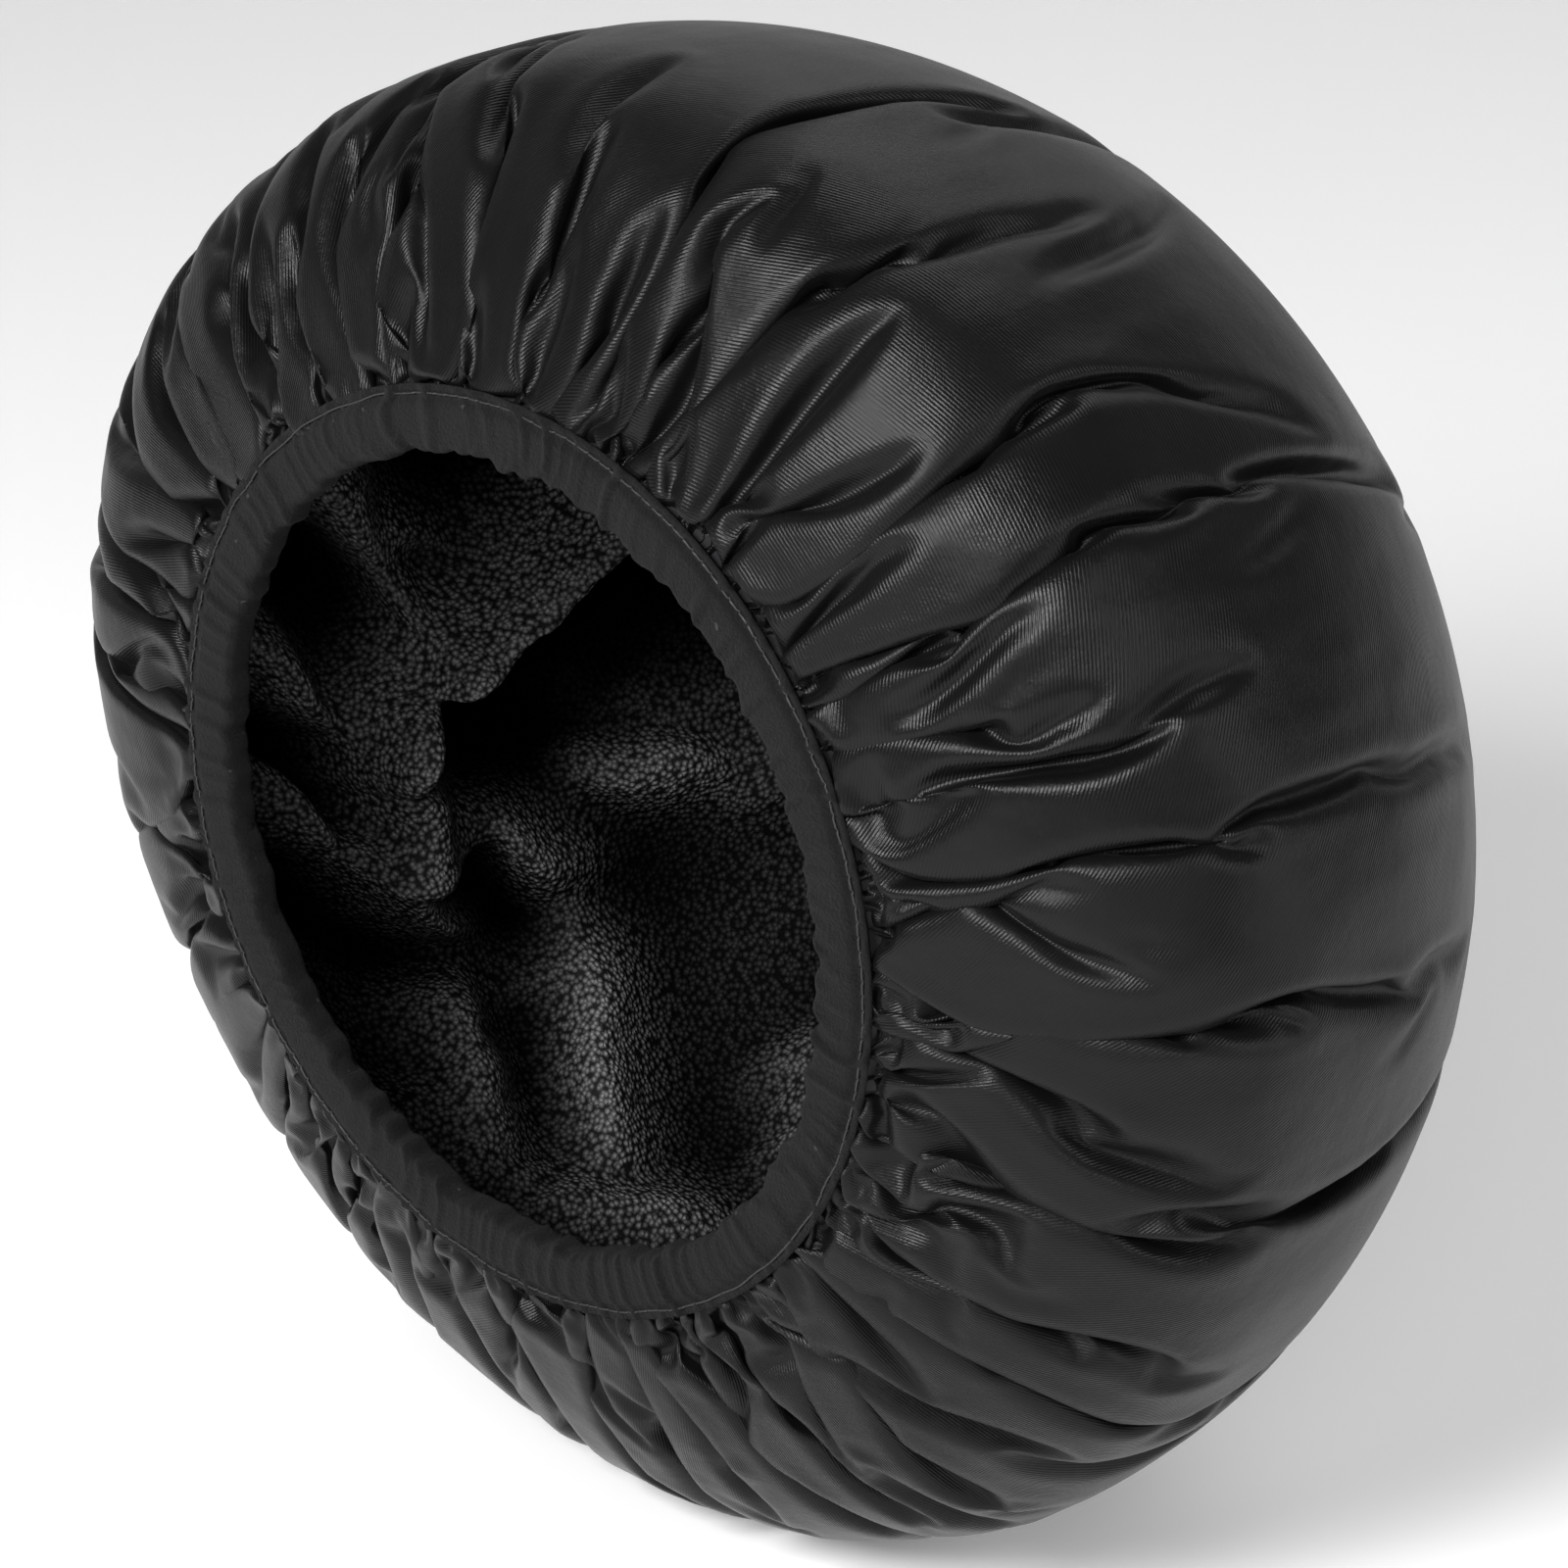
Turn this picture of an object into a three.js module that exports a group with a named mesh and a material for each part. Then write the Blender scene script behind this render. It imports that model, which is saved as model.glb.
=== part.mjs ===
// A round, puffed cap of three cloth plies gathered into an elastic hem: a satin shell outside,
// a waterproof film in the middle and a terry lining inside. The hem is a velour binding folded
// round an elastic band and stitched along its outer edge.
//
// Millimetres, +Z up. The cap stands on its edge, with its axis along Y: the opening faces -Y and
// the crown +Y. The origin lies under the middle of the cap, at the level of its lowest point.
import * as THREE from "three";

// Driving sizes
const CAP_RADIUS = 140; // at the widest ring, outside the satin
const SEAM_RADIUS = 85; // outer edge of the hem, where the plies are stitched in
const OPENING_RADIUS = 73; // inner edge of the hem
const FRONT_DEPTH = 56; // from the hem's front face to the widest ring
const CROWN_DEPTH = 120; // from the widest ring to the crown's outermost point
const HEM_RISE = 7; // how far the opening sits above the cap's own axis
const SEGMENTS = 60; // flats round every ring, the same in each piece so that they nest
const GATHERS = 15; // radial folds round the front wall
const GATHER_DEPTH = 2.4; // half the height of a fold

// Cloth thicknesses and the clearance left between neighbouring pieces
const SATIN = 0.4;
const FILM = 0.3;
const TERRY = 3;
const TERRY_AT_SEAM = 1.2; // the pile is crushed where it is stitched
const VELOUR = 0.6;
const GAP = 0.3;

// Hem, with its front face at y = 0
const HEM_THICKNESS = 5.9;
const FLANGE_WIDTH = 2.9; // the stitched strip outside the elastic
const FLANGE_STEP = 0.9; // how far the stitches pull the flange back from the front face
const ELASTIC_WIDTH = 7.4;
const ELASTIC_THICKNESS = 1.2;
const ELASTIC_LAP = 14; // overlap of its two ends
const ELASTIC_RADIUS = OPENING_RADIUS + VELOUR + 2 * GAP + ELASTIC_WIDTH / 2; // its middle
const ELASTIC_FRONT = VELOUR + 3 * GAP; // its front face, clear of the casing's join stitches
const THREAD_RADIUS = 0.2;

// The plies enter the hem between its two leaves and swing outwards at the lip, just outside it.
const PLY_EDGE_RADIUS = SEAM_RADIUS - 2.1;
const LIP_RADIUS = SEAM_RADIUS + 0.4;
const LIP_Y = FLANGE_STEP + VELOUR + GAP;

// Section of the front wall: a superellipse that passes through the lip
const FRONT_POWER = 2.6;
const FRONT_SEMI_AXIS =
  (FRONT_DEPTH - LIP_Y) / (1 - (LIP_RADIUS / CAP_RADIUS) ** FRONT_POWER) ** (1 / FRONT_POWER);
const FRONT_STEPS = 7;
const CROWN_STEPS = 7;

const materials = {
  satin: new THREE.MeshStandardMaterial({ color: 0x18181a, roughness: 0.35 }),
  film: new THREE.MeshStandardMaterial({ color: 0x2a2a2c, roughness: 0.25 }),
  terry: new THREE.MeshStandardMaterial({ color: 0x0f0f10, roughness: 0.95 }),
  velour: new THREE.MeshStandardMaterial({ color: 0x242424, roughness: 0.9 }),
  elastic: new THREE.MeshStandardMaterial({ color: 0x161616, roughness: 0.8 }),
  thread: new THREE.MeshStandardMaterial({ color: 0x141414, roughness: 0.6 }),
};

function piece(name, geometry, material) {
  const mesh = new THREE.Mesh(geometry, material);
  mesh.name = name;
  return mesh;
}

// One face of a ply, from its edge in the hem to the crown, as { r, y, swell }. inset(u) is its
// distance inside the satin's outer face, for u from 0 at the lip to 1 at the widest ring. swell is
// how strongly the gathers move the point; they die out at the lip and at the widest ring.
function plyFace(inset) {
  const face = [];
  for (let i = 0; i <= FRONT_STEPS; i++) {
    const u = i / FRONT_STEPS;
    const radius = CAP_RADIUS - inset(u);
    const lipAngle = Math.acos((LIP_RADIUS / radius) ** (FRONT_POWER / 2));
    const angle = (1 - u) * lipAngle;
    face.push({
      r: radius * Math.cos(angle) ** (2 / FRONT_POWER),
      y: FRONT_DEPTH - (FRONT_SEMI_AXIS - inset(u)) * Math.sin(angle) ** (2 / FRONT_POWER),
      swell: Math.sin(Math.PI * u ** 0.6),
    });
  }
  for (let i = 1; i <= CROWN_STEPS; i++) {
    const angle = (Math.PI / 2) * (i / CROWN_STEPS);
    const r = i === CROWN_STEPS ? 0 : (CAP_RADIUS - inset(1)) * Math.cos(angle);
    face.push({ r, y: FRONT_DEPTH + (CROWN_DEPTH - inset(1)) * Math.sin(angle), swell: 0 });
  }
  return [{ r: PLY_EDGE_RADIUS, y: face[0].y, swell: 0 }, ...face];
}

// The outward direction of a face at point i, in the (r, y) plane.
function outward(face, i) {
  const before = face[Math.max(i - 1, 0)];
  const after = face[Math.min(i + 1, face.length - 1)];
  return new THREE.Vector2(after.y - before.y, before.r - after.r).normalize();
}

// Triangles between neighbouring columns of a turned ply. Its inner half runs the other way round
// its outer half, so its quads are cut along the other diagonal and neighbouring plies nest.
function plyFaces(column) {
  const index = [];
  for (let i = 0; i < SEGMENTS; i++) {
    for (let j = 0; j < column - 1; j++) {
      const a = i * column + j;
      const b = a + column;
      if (j < column / 2) index.push(a, b, b + 1, a, b + 1, a + 1);
      else index.push(a, b, a + 1, b + 1, a + 1, b);
    }
  }
  return index;
}

// A cloth ply as a hollow dome: back along its inner face and out along its outer face, turned
// round Y, then gathered into radial folds and leant up so that its lip meets the raised hem.
function plyGeometry(outerInset, innerInset) {
  const outer = plyFace(outerInset);
  const normals = outer.map((_, i) => outward(outer, i));
  const rim = [...plyFace(innerInset).reverse(), ...outer];
  const push = [...normals.slice().reverse(), ...normals];
  const profile = rim.map(({ r, y }) => new THREE.Vector2(r, y));
  const geometry = new THREE.LatheGeometry(profile, SEGMENTS);
  geometry.setIndex(plyFaces(rim.length));
  const position = geometry.attributes.position;
  for (let i = 0; i <= SEGMENTS; i++) {
    const turn = (2 * Math.PI * i) / SEGMENTS;
    const wave = GATHER_DEPTH * Math.cos(GATHERS * turn);
    rim.forEach(({ r, y, swell }, j) => {
      const radius = r + wave * swell * push[j].x;
      const depth = y + wave * swell * push[j].y;
      const rise = HEM_RISE * (1 - THREE.MathUtils.smoothstep(y, HEM_THICKNESS, FRONT_DEPTH));
      const vertex = i * rim.length + j;
      position.setXYZ(vertex, radius * Math.sin(turn), depth, radius * Math.cos(turn) + rise);
    });
  }
  return geometry;
}

// The binding's section: a strip folded into a U, open outwards, round the elastic. Its front leaf
// steps back where it is stitched.
function casingGeometry() {
  const leafEnd = SEAM_RADIUS;
  const step = SEAM_RADIUS - FLANGE_WIDTH;
  const fold = OPENING_RADIUS;
  const corner = 1.2; // how far the fold's round corners reach
  const back = HEM_THICKNESS;
  const outside = [
    [leafEnd, FLANGE_STEP],
    [step + 0.4, FLANGE_STEP],
    [step, 0],
    [fold + corner, 0],
    [fold, corner],
    [fold, back - corner],
    [fold + corner, back],
    [leafEnd, back],
  ];
  const inside = [
    [leafEnd, back - VELOUR],
    [fold + corner + VELOUR / 2, back - VELOUR],
    [fold + VELOUR, back - corner - VELOUR / 2],
    [fold + VELOUR, corner + VELOUR / 2],
    [fold + corner + VELOUR / 2, VELOUR],
    [step - 0.2, VELOUR],
    [step + 0.2, FLANGE_STEP + VELOUR],
    [leafEnd, FLANGE_STEP + VELOUR],
  ];
  const section = [...outside, ...inside, outside[0]].reverse();
  return new THREE.LatheGeometry(section.map(([r, y]) => new THREE.Vector2(r, y)), SEGMENTS);
}

// A flat strip bent on edge into a ring, with its ends lapped one behind the other.
function elasticGeometry() {
  const lap = ELASTIC_LAP / ELASTIC_RADIUS;
  const turn = 2 * Math.PI + lap;
  const strip = new THREE.BoxGeometry(turn, ELASTIC_WIDTH, ELASTIC_THICKNESS, SEGMENTS + 2, 1, 1);
  const position = strip.attributes.position;
  const behind = ELASTIC_THICKNESS + GAP;
  const front = ELASTIC_FRONT + ELASTIC_THICKNESS / 2;
  for (let i = 0; i < position.count; i++) {
    const angle = position.getX(i) + turn / 2; // 0 at the front end, turn at the end behind it
    const radius = ELASTIC_RADIUS + position.getY(i);
    const back = behind * THREE.MathUtils.smoothstep(angle, turn - 3 * lap, turn - lap);
    const y = front + back + position.getZ(i);
    position.setXYZ(i, radius * Math.cos(angle), y, radius * Math.sin(angle));
  }
  return strip;
}

// A ring of thread round the hem.
function threadRing(radius, y) {
  const ring = new THREE.TorusGeometry(radius, THREAD_RADIUS, 4, SEGMENTS);
  return ring.rotateX(Math.PI / 2).translate(0, y, 0);
}

// A length of thread through the given points.
function threadThrough(points, steps) {
  const path = new THREE.CatmullRomCurve3(points);
  const section = new THREE.Shape();
  section.absarc(0, 0, THREAD_RADIUS * 0.75, 0, 2 * Math.PI);
  return new THREE.ExtrudeGeometry(section, { steps, curveSegments: 3, extrudePath: path });
}

// Zigzag stitches that join the elastic's lapped ends, lying on its back face.
function lapStitches() {
  const y = ELASTIC_FRONT + 2 * ELASTIC_THICKNESS + GAP + 2 * THREAD_RADIUS;
  const lap = ELASTIC_LAP / ELASTIC_RADIUS;
  const zigzags = 8;
  const points = [];
  for (let i = 0; i <= zigzags; i++) {
    const angle = lap * (0.15 + (0.7 * i) / zigzags);
    const radius = ELASTIC_RADIUS + (i % 2 ? 1 : -1) * ELASTIC_WIDTH * 0.3;
    points.push(new THREE.Vector3(radius * Math.cos(angle), y, radius * Math.sin(angle)));
  }
  return threadThrough(points, zigzags * 3);
}

// Stitches that close the binding strip into a ring, just inside its front leaf.
function casingJoinStitches() {
  const y = VELOUR + 1.5 * GAP;
  const from = OPENING_RADIUS + 3;
  const to = SEAM_RADIUS - FLANGE_WIDTH - 1;
  const points = [new THREE.Vector3(0, y, -from), new THREE.Vector3(0, y, -to)];
  return threadThrough(points, 4);
}

const hem = new THREE.Group();
hem.position.z = HEM_RISE;
const stitchRadius = SEAM_RADIUS - FLANGE_WIDTH / 2 + 0.4;
const gatheringY = HEM_THICKNESS - VELOUR - GAP - THREAD_RADIUS; // behind the three ply edges
hem.add(
  piece("hem_casing", casingGeometry(), materials.velour),
  piece("elastic_band", elasticGeometry(), materials.elastic),
  piece("elastic_join_stitches", lapStitches(), materials.thread),
  piece("casing_join_stitches", casingJoinStitches(), materials.thread),
  piece("hem_needle_thread", threadRing(stitchRadius, FLANGE_STEP / 2), materials.thread),
  piece("hem_bobbin_thread", threadRing(stitchRadius, HEM_THICKNESS + 2 * GAP), materials.thread),
  piece("gathering_thread", threadRing(stitchRadius, gatheringY), materials.thread),
);

const crown = new THREE.Group();
const filmInset = SATIN + GAP;
const terryInset = filmInset + FILM + GAP;
const pile = (u) => THREE.MathUtils.lerp(TERRY_AT_SEAM, TERRY, THREE.MathUtils.smoothstep(u, 0, 0.3));
crown.add(
  piece("outer_shell", plyGeometry(() => 0, () => SATIN), materials.satin),
  piece("waterproof_film", plyGeometry(() => filmInset, () => filmInset + FILM), materials.film),
  piece("terry_lining", plyGeometry(() => terryInset, (u) => terryInset + pile(u)), materials.terry),
);

const cap = new THREE.Group();
cap.add(hem, crown);
const box = new THREE.Box3().setFromObject(cap);
const middle = box.getCenter(new THREE.Vector3());
cap.position.set(-middle.x, -middle.y, -box.min.z);

export default cap;
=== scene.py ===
"""A puffed black satin cap on its edge: gathered satin, terry lining, velour hem with its stitches."""
import math

import bpy
import numpy as np
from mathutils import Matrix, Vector


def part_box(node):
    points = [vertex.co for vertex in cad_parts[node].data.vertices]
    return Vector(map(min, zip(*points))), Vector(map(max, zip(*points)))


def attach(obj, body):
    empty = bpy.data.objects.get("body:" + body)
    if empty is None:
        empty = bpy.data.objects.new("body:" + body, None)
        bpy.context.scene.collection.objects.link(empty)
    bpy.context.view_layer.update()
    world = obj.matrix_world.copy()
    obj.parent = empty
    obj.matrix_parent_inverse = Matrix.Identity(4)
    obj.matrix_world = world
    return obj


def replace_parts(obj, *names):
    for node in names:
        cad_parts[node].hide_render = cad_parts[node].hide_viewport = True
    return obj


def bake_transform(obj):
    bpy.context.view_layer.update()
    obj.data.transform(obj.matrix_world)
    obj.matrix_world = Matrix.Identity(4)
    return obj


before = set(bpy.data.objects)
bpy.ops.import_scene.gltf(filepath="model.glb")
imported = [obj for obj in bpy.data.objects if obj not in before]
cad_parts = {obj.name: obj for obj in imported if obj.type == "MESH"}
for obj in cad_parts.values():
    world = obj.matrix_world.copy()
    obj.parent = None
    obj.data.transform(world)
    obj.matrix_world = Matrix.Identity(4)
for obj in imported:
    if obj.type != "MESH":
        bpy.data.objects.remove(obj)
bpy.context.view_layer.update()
TURN = 2 * math.pi
RNG = np.random.default_rng(11)  # draws the satin's ripples first, then the lining's

# Sizes in millimetres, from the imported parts. Points are in the cap's own coordinates: its axis runs along +Y
# from the middle of its rim.
shell_lo, shell_hi = (np.array(v) * 1000 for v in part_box("outer_shell"))
hem_lo, hem_hi = (np.array(v) * 1000 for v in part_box("hem_casing"))
R = (shell_hi[0] - shell_lo[0]) / 2  # radius of the widest ring
RIM = np.array([0.0, hem_lo[1], shell_lo[2] + R])  # where the cap's axis meets the rim plane
RISE = (hem_lo[2] + hem_hi[2]) / 2 - RIM[2]  # the hem's middle lies this far above the cap's axis
SEAM = (hem_hi[0] - hem_lo[0]) / 2  # radius of the hem's outer edge, where it is sewn to the plies
WIDEST = 56.0  # depth of the widest ring behind the rim
CROWN = shell_hi[1] - RIM[1] - WIDEST  # from the widest ring to the crown's middle
FRONT_POWER = 2.6  # the front's section is a superellipse of this power
LIP_R, LIP_Y = SEAM + 0.4, 1.8  # where the section meets the hem
# The superellipse's half-axis along Y, such that it passes through that place.
FRONT = (WIDEST - LIP_Y) / (1 - (LIP_R / R) ** FRONT_POWER) ** (1 / FRONT_POWER)
FLOOR = -RIM[2]  # in the cap's own coordinates
FLOOR_GAP = 0.6  # the satin stays this far above the floor
SECTION_POINTS = 2000  # along each half of the section
TINY = 1e-9  # keeps a division by a length from failing

# Rings and steps of the cloth nets and columns round the hem: fewer for a quick test.
SHELL_RINGS, SHELL_STEPS = ((70, 260))
LINING_RINGS, LINING_STEPS = ((60, 16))
FILM_RINGS = 40
HEM_COLUMNS = 1500


def smooth(a, b, x):
    """An even step from 0 where x is a to 1 where x is b."""
    t = np.clip((x - a) / (b - a), 0, 1)
    return t * t * (3 - 2 * t)


def lift(y):
    """How far the section at depth y is raised towards the hem's centre."""
    return RISE * (1 - smooth(6, WIDEST, y))


# ---------------------------------------------------------------- cloth net

SECTORS = 10  # a net's ring k has SECTORS * k points


class Disc:
    """A round net of n rings whose triangles are all much alike.

    k and turn are each point's ring and bearing. No two edges in a group share a point. near lists every
    point's neighbours from its place first on. next, prev, out and inn are its neighbours along its ring and
    across it."""

    def __init__(self, n):
        k = np.arange(n + 2)
        start = np.where(k > 0, 1 + SECTORS * k * (k - 1) // 2, 0)  # the first point of each ring
        rings, places, faces = [[0]], [[0]], []
        groups = [[] for _ in range(8)]  # 0 and 1 run along the rings, the others join one ring to the next
        for k in range(1, n + 1):
            m, i = SECTORS * k, np.arange(SECTORS * k)
            rings.append(np.full(m, k))
            places.append(i)
            ring = np.stack([start[k] + i, start[k] + (i + 1) % m], 1)
            groups[0].append(ring[0::2])
            groups[1].append(ring[1::2])
            if k == n:
                break
            # Each point joins two points of the next ring, and the first of each sector joins a third.
            wider, up = m + SECTORS, i // k * (k + 1) + i % k
            a, b = start[k + 1] + up, start[k + 1] + (up + 1) % wider
            c = i[i % k == 0]
            d = start[k + 1] + (up[c] - 1) % wider
            groups[2 + k % 2].append(np.stack([start[k] + i, a], 1))
            groups[4 + k % 2].append(np.stack([start[k] + i, b], 1))
            groups[6 + k % 2].append(np.stack([start[k] + c, d], 1))
            faces.append(np.stack([start[k] + i, a, b], 1))
            faces.append(np.stack([start[k] + i, b, ring[:, 1]], 1))
            faces.append(np.stack([start[k] + c, d, a[c]], 1))
        # The middle point has a spoke to each point of ring 1, and each spoke is a group of its own.
        q = np.arange(SECTORS)
        faces.append(np.stack([0 * q, 1 + q, 1 + (q + 1) % SECTORS], 1))
        spokes = [np.array([[0, 1 + q]]) for q in range(SECTORS)]
        self.n, self.count = n, int(start[n + 1])
        self.faces = np.concatenate(faces)
        self.groups = [np.concatenate(g) for g in groups] + spokes
        self.k, j = np.concatenate(rings), np.concatenate(places)
        self.turn = j / np.maximum(SECTORS * self.k, 1) * TURN
        edges = np.concatenate(self.groups)
        both = np.concatenate([edges, edges[:, ::-1]])
        both = both[np.argsort(both[:, 0], kind="stable")]
        self.near, self.first = both[:, 1], np.searchsorted(both[:, 0], np.arange(self.count))
        self.valence = np.bincount(both[:, 0])[:, None]
        k, own, less = self.k, np.maximum(self.k, 1), np.maximum(self.k - 1, 1)
        sector, place = j // own, j % own
        beyond = start[np.minimum(k + 1, n)] + sector * (own + 1) + place
        within = start[np.maximum(k - 1, 0)] + sector * less + np.minimum(place, less - 1)
        self.next, self.prev = start[k] + (j + 1) % (SECTORS * own), start[k] + (j - 1) % (SECTORS * own)
        self.out, self.inn = np.where(k < n, beyond, np.arange(self.count)), np.where(k > 1, within, 0)
        self.next[0], self.prev[0], self.out[0], self.inn[0] = 1, 6, 3, 8  # two lines through the middle

    def spread(self, x):
        """How far the mean of each point's neighbours is from it."""
        return np.add.reduceat(x[self.near], self.first) / self.valence - x

    def normal(self, x):
        """Each point's normal, as long as the cloth round it is wide."""
        return np.cross(x[self.out] - x[self.inn], x[self.next] - x[self.prev])


def section(inset):
    """The cap's section from the crown to the seam as arc length, radius and depth."""
    back = np.linspace(math.pi / 2, 0, SECTION_POINTS)  # a quarter of an ellipse down to the widest ring
    last = math.acos((LIP_R / (R - inset)) ** (FRONT_POWER / 2))
    front = np.linspace(0, last, SECTION_POINTS)[1:]  # a superellipse from there to the hem
    held = SEAM - 1.2, LIP_Y + 0.1 + min(inset, 2.2)  # the edge, between the leaves of the binding
    front_r = (R - inset) * np.cos(front) ** (2 / FRONT_POWER)
    front_y = WIDEST - (FRONT - inset) * np.sin(front) ** (2 / FRONT_POWER)
    r = np.concatenate([(R - inset) * np.cos(back), front_r, held[:1]])
    y = np.concatenate([WIDEST + (CROWN - inset) * np.sin(back), front_y, held[1:]])
    along = np.concatenate([[0], np.cumsum(np.hypot(np.diff(r), np.diff(y)))])
    return along, r, y


def gauge(p):
    """1 on the cap's plain outer surface and less inside it; also the point each point is pushed from."""
    up = lift(p[:, 1])
    out, y = np.hypot(p[:, 0], p[:, 2] - up) / R, p[:, 1] - WIDEST
    front = (out**FRONT_POWER + (np.abs(y) / FRONT) ** FRONT_POWER) ** (1 / FRONT_POWER)
    centre = np.stack([np.zeros_like(up), np.full_like(up, WIDEST), up], 1)
    return np.where(y > 0, np.hypot(out, y / CROWN), front), centre


def ring_places(inset, n):
    """Where each ring of a net lies on the dome: its arc length from the crown, radius, depth, f and g.

    f runs 0 to 1 up to the widest ring, and g 0 to 1 from there to the seam."""
    rim_crowding = 0.45  # rings lie closer together towards the seam
    reach = 110  # length of the crown's cloth in which f rises
    s, r, y = section(inset)
    q = np.linspace(0, 1, n + 1)
    along = s[-1] * ((1 + rim_crowding) * q - rim_crowding * q * q)
    widest = s[SECTION_POINTS - 1]
    f, g = smooth(widest - reach, widest, along), np.clip((along - widest) / (s[-1] - widest), 0, 1)
    return along, np.interp(along, s, r), np.interp(along, s, y), f, g


def on_dome(disc, radius, y):
    """The net's points with each ring at its radius and depth, raised towards the hem's centre."""
    radius, y = radius[disc.k], y[disc.k]
    return np.stack([radius * np.cos(disc.turn), y, radius * np.sin(disc.turn) + lift(y)], 1)


def weighted_edges(disc):
    """For each group of edges: both ends, the share of a move that each takes, the turn and both rings."""
    free = disc.k < disc.n
    edges = []
    for e in disc.groups:
        w = free[e].astype(float)
        w /= np.maximum(w.sum(1), 1)[:, None]
        turned = (disc.turn[e[:, 1]] - disc.turn[e[:, 0]] + math.pi) % TURN - math.pi
        edges.append((e[:, 0], e[:, 1], w[:, :1], w[:, 1:], turned, disc.k[e[:, 0]], disc.k[e[:, 1]]))
    return edges


def rest_lengths(edges, along, radius, stretch):
    """Every edge's length when the rings have these radii and lie stretch times as far apart."""
    lengths = []
    for _, _, _, _, turned, ka, kb in edges:
        across = (along[kb] - along[ka]) * stretch
        lengths.append(np.hypot(across, turned * (radius[ka] + radius[kb]) / 2))
    return lengths


def pull(x, edges, lengths):
    """Moves the ends of every edge towards the edge's length at rest."""
    for (a, b, share_a, share_b, *_), length in zip(edges, lengths):
        d = x[b] - x[a]
        far = np.sqrt(np.einsum("ij,ij->i", d, d)) + TINY
        d *= ((far - length) / far)[:, None]
        x[a] += d * share_a
        x[b] -= d * share_b


def hold(x, old, ceiling, allowed, pull_in):
    """Brings back points above the ceiling or more than allowed below it, and slows them by friction."""
    push_out, friction, touch = 0.6, 0.8, 0.01
    at, centre = gauge(x)
    top = ceiling(x, centre)
    low = top - allowed / np.linalg.norm(x - centre, axis=1)
    inwards, outwards = 1 - pull_in * (1 - top / at), 1 + push_out * (low / at - 1)
    scale = np.where(at > top, inwards, np.where(at < low, outwards, 1))
    moved = centre + (x - centre) * scale[:, None]
    rub = np.where((at > top + touch) | (at < low), friction, 1.0)[:, None]
    return old + (moved - old) * rub


def gather(disc, inset, excess, depth, seed, steps, stiffness, pressure, slack, ceiling=None, draped=False):
    """Grows extra cloth into a gathered dome until it buckles into folds of its own.

    excess(f, g) is the cloth's length round each ring over the ring's own, depth(f, g) is how deep folds
    may go, and seed(disc, f, g, x, n) is the first move of the points x with normals n. slack is the extra
    length across the rings. ceiling is the largest gauge allowed at each point. Draped cloth is as long as
    its seed folds need. Returns the points and where each of them lies on the flat cloth."""
    growing = 0.65  # share of the steps in which the cloth grows
    sweeps, damping = 4, 0.9
    pull_in = 0.1 if ceiling is None else 0.7  # share of what is too high that each step puts right
    ceiling = ceiling or (lambda x, centre: 1 - inset / R)
    along, radius, y, f, g = ring_places(inset, disc.n)
    k = disc.k
    ratio, allowed = excess(f, g), depth(f, g)[k]
    x = on_dome(disc, radius, y)
    n = disc.normal(x)
    sign = 1.0 if np.sum(n * (x - [0, WIDEST, 0])) > 0 else -1.0  # turns the normals outwards
    n *= sign / (np.linalg.norm(n, axis=1)[:, None] + TINY)
    x += seed(disc, f[k], g[k], x, n)
    edges = weighted_edges(disc)
    seeded = [np.linalg.norm(x[a] - x[b], axis=1) * (1 + slack) for a, b, *_ in edges]
    old, free = x.copy(), (k < disc.n)[:, None]
    for step in range(steps):
        grown = smooth(0, growing * steps, step)
        if step % 10 == 0:
            lengths = rest_lengths(edges, along, radius * (1 + (ratio - 1) * grown), 1 + slack * grown)
            if draped:
                lengths = [np.maximum(a, b) for a, b in zip(lengths, seeded)]
        # Momentum and pressure, then the edges' lengths, then stiffness, then the limits and the floor.
        push = pressure * sign * disc.normal(x)
        x, old = x + np.where(free, damping * (x - old) + push, 0), x.copy()
        for _ in range(sweeps):
            pull(x, edges, lengths)
        x -= np.where(free, stiffness * disc.spread(disc.spread(x)), 0)
        x = np.where(free, hold(x, old, ceiling, allowed, pull_in), x)
        x[:, 2] = np.maximum(x[:, 2], FLOOR + FLOOR_GAP + inset)
    return x, along[k, None] * np.stack([np.cos(disc.turn), np.sin(disc.turn)], 1)


def unfold(disc, x, flat, passes=120):
    """Spreads the net flat again, keeping the lengths its edges have in x, for the cloth's pattern."""
    flat = flat.copy()
    lengths = [np.linalg.norm(x[e[:, 0]] - x[e[:, 1]], axis=1) for e in disc.groups]
    for _ in range(passes):
        for e, length in zip(disc.groups, lengths):
            d = flat[e[:, 1]] - flat[e[:, 0]]
            far = np.linalg.norm(d, axis=1) + TINY
            d *= (0.5 * (far - length) / far)[:, None]
            flat[e[:, 0]] += d
            flat[e[:, 1]] -= d
    return flat


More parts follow.
